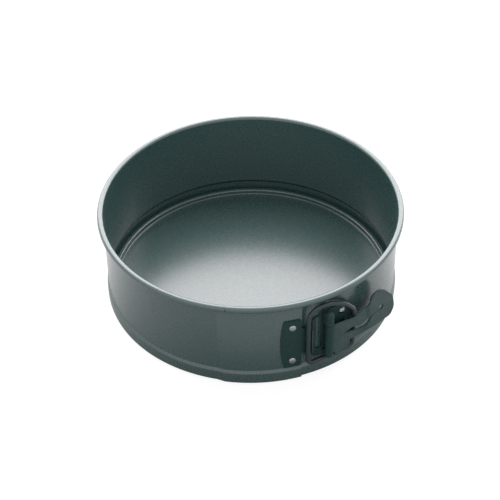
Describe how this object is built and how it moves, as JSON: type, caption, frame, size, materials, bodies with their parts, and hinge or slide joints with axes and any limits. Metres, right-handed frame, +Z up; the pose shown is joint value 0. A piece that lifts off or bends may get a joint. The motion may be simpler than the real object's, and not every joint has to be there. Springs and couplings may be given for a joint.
{
  "type": "springform pan",
  "caption": "Round springform cake pan: a rolled-rim band with lapped ends, a loose tray base, and a riveted over-centre clasp with a wire bail and a thumb-tab lever.",
  "frame": {"origin": "centre of the base's underside, on the surface the pan stands on", "axes": "+Z up along the pan's axis; -Y towards the front, where the band's ends lap; the clasp lies between -Y and +X"},
  "size_m": [0.188, 0.188, 0.0623],
  "materials": {
    "nonstick_coat": "dark grey-green satin non-stick coating on steel sheet",
    "clasp_coat": "dark grey-green semi-gloss coating on stamped steel and wire",
    "rivet_steel": "bright plated rivets with domed heads"
  },
  "bodies": {
    "inner_end": {"band_inner_end": "nonstick_coat", "hinge_bracket": "clasp_coat", "hinge_pin": "clasp_coat", "bracket_rivet_lower": "rivet_steel", "bracket_rivet_upper": "rivet_steel"},
    "outer_end": {"band_outer_end": "nonstick_coat", "catch_plate": "clasp_coat", "catch_rivet_lower": "rivet_steel", "catch_rivet_upper": "rivet_steel"},
    "base": {"base_tray": "nonstick_coat"},
    "lever": {"lever": "clasp_coat"},
    "bail": {"bail": "clasp_coat"}
  },
  "joints": [
    {"name": "lever_swing", "type": "hinge", "parent": "inner_end", "child": "lever", "pos_m": [0.04463, -0.08465, 0.03], "axis": [0, 0, -1], "range_deg": [0, 130]},
    {"name": "bail_swing", "type": "hinge", "parent": "lever", "child": "bail", "pos_m": [0.05933, -0.07341, 0.0346], "axis": [0, 0, -1], "range_deg": [-120, 0]},
    {"name": "band_flex", "type": "hinge", "parent": "inner_end", "child": "outer_end", "pos_m": [-0.02914, 0.08969, 0.03], "axis": [0, 0, -1], "range_deg": [0, 3]},
    {"name": "base_lift", "type": "slide", "parent": "inner_end", "child": "base", "axis": [0, 0, 1], "range_m": [0, 0.07]}
  ],
  "couplings": [
    {"joint": "band_flex", "follows": "lever_swing", "ratio": 0.023076},
    {"joint": "bail_swing", "follows": "lever_swing", "ratio": -0.92308}
  ]
}
